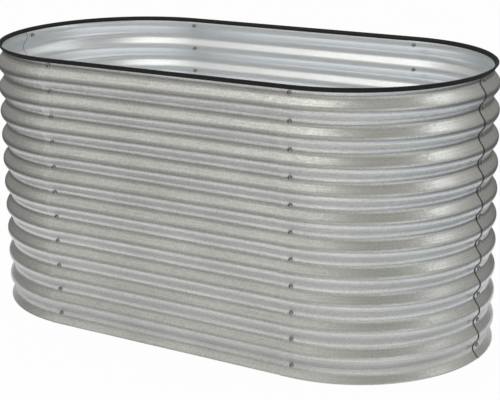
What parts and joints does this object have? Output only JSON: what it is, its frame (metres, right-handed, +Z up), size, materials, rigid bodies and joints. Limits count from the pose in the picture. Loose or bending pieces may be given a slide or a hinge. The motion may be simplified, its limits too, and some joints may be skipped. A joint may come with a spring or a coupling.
{
  "type": "raised garden bed",
  "caption": "Oval raised garden bed of corrugated galvanised sheet, open above and below, with lapped and bolted panels and a rubber edge strip.",
  "frame": {"origin": "on the ground under the middle of the bed", "axes": "+X along the bed's length, -Y towards its front, +Z up from the ground"},
  "size_m": [1.5998, 0.7998, 0.8133],
  "materials": {
    "galvanised_sheet": "hot-dip galvanised, fine spangle",
    "zinc_plated_hardware": "zinc plated",
    "rubber_strip": "ribbed, dull black"
  },
  "bodies": {
    "root": {"front_side_panel": "galvanised_sheet", "back_side_panel": "galvanised_sheet", "front_left_corner_panel": "galvanised_sheet", "front_right_corner_panel": "galvanised_sheet", "back_left_corner_panel": "galvanised_sheet", "back_right_corner_panel": "galvanised_sheet", "front_left_seam_bolts": "zinc_plated_hardware", "front_right_seam_bolts": "zinc_plated_hardware", "right_end_seam_bolts": "zinc_plated_hardware", "back_right_seam_bolts": "zinc_plated_hardware", "back_left_seam_bolts": "zinc_plated_hardware", "left_end_seam_bolts": "zinc_plated_hardware", "front_left_seam_washers": "zinc_plated_hardware", "front_right_seam_washers": "zinc_plated_hardware", "right_end_seam_washers": "zinc_plated_hardware", "back_right_seam_washers": "zinc_plated_hardware", "back_left_seam_washers": "zinc_plated_hardware", "left_end_seam_washers": "zinc_plated_hardware", "front_left_seam_nuts": "zinc_plated_hardware", "front_right_seam_nuts": "zinc_plated_hardware", "right_end_seam_nuts": "zinc_plated_hardware", "back_right_seam_nuts": "zinc_plated_hardware", "back_left_seam_nuts": "zinc_plated_hardware", "left_end_seam_nuts": "zinc_plated_hardware", "rim_edge_strip": "rubber_strip"}
  },
  "joints": []
}
